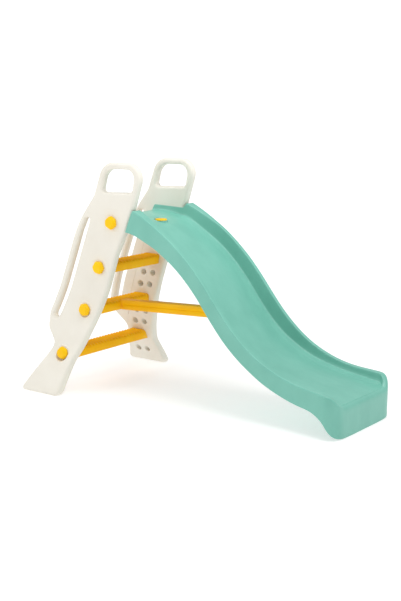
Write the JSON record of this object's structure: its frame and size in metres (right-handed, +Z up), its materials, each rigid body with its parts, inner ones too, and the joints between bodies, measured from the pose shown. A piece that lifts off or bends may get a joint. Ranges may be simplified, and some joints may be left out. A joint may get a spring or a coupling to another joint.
{
  "type": "toddler slide",
  "caption": "Free-standing toddler slide: wavy trough chute hung between two ladder side frames with loop handles, ribbed steps, a support brace and hand bolts.",
  "frame": {"origin": "on the floor, under the middle of the whole length and width", "axes": "+X from the ladder towards the chute's exit, +Y to the slider's left, +Z up"},
  "size_m": [1.4579, 0.7524, 0.97],
  "materials": {
    "cream_plastic": "fine satin grain, warm off-white polyethylene",
    "teal_plastic": "smooth semi-gloss, teal green polyethylene",
    "yellow_plastic": "semi-gloss, warm yellow polyethylene",
    "bolt_plastic": "semi-gloss, warm yellow polypropylene",
    "zinc_steel": "zinc plated"
  },
  "bodies": {
    "slide": {"side_frame_left": "cream_plastic", "side_frame_right": "cream_plastic", "step_lower": "yellow_plastic", "step_middle": "yellow_plastic", "step_upper": "yellow_plastic", "platform_beam": "yellow_plastic", "chute": "teal_plastic", "support_brace": "yellow_plastic", "platform_nut": "zinc_steel", "brace_nut": "zinc_steel"},
    "hand_bolt_left_1": {"hand_bolt_left_1": "bolt_plastic"},
    "hand_bolt_left_2": {"hand_bolt_left_2": "bolt_plastic"},
    "hand_bolt_left_3": {"hand_bolt_left_3": "bolt_plastic"},
    "hand_bolt_left_4": {"hand_bolt_left_4": "bolt_plastic"},
    "hand_bolt_right_1": {"hand_bolt_right_1": "bolt_plastic"},
    "hand_bolt_right_2": {"hand_bolt_right_2": "bolt_plastic"},
    "hand_bolt_right_3": {"hand_bolt_right_3": "bolt_plastic"},
    "hand_bolt_right_4": {"hand_bolt_right_4": "bolt_plastic"},
    "platform_screw": {"platform_screw": "bolt_plastic"},
    "brace_bolt": {"brace_bolt": "zinc_steel"}
  },
  "joints": [
    {"name": "hand_bolt_left_1_turn", "type": "hinge", "parent": "slide", "child": "hand_bolt_left_1", "pos_m": [-0.5785, 0, 0.161], "axis": [0, 1, 0], "continuous": true},
    {"name": "hand_bolt_left_2_turn", "type": "hinge", "parent": "slide", "child": "hand_bolt_left_2", "pos_m": [-0.5055, 0, 0.3465], "axis": [0, 1, 0], "continuous": true},
    {"name": "hand_bolt_left_3_turn", "type": "hinge", "parent": "slide", "child": "hand_bolt_left_3", "pos_m": [-0.4325, 0, 0.532], "axis": [0, 1, 0], "continuous": true},
    {"name": "hand_bolt_left_4_turn", "type": "hinge", "parent": "slide", "child": "hand_bolt_left_4", "pos_m": [-0.3595, 0, 0.724], "axis": [0, 1, 0], "continuous": true},
    {"name": "hand_bolt_right_1_turn", "type": "hinge", "parent": "slide", "child": "hand_bolt_right_1", "pos_m": [-0.5785, 0, 0.161], "axis": [0, -1, 0], "continuous": true},
    {"name": "hand_bolt_right_2_turn", "type": "hinge", "parent": "slide", "child": "hand_bolt_right_2", "pos_m": [-0.5055, 0, 0.3465], "axis": [0, -1, 0], "continuous": true},
    {"name": "hand_bolt_right_3_turn", "type": "hinge", "parent": "slide", "child": "hand_bolt_right_3", "pos_m": [-0.4325, 0, 0.532], "axis": [0, -1, 0], "continuous": true},
    {"name": "hand_bolt_right_4_turn", "type": "hinge", "parent": "slide", "child": "hand_bolt_right_4", "pos_m": [-0.3595, 0, 0.724], "axis": [0, -1, 0], "continuous": true},
    {"name": "platform_screw_turn", "type": "hinge", "parent": "slide", "child": "platform_screw", "pos_m": [-0.254, 0, 0.7229], "axis": [0, 0, 1], "continuous": true},
    {"name": "brace_bolt_turn", "type": "hinge", "parent": "slide", "child": "brace_bolt", "pos_m": [0.104, 0, 0.368], "axis": [0, -1, 0], "continuous": true}
  ]
}
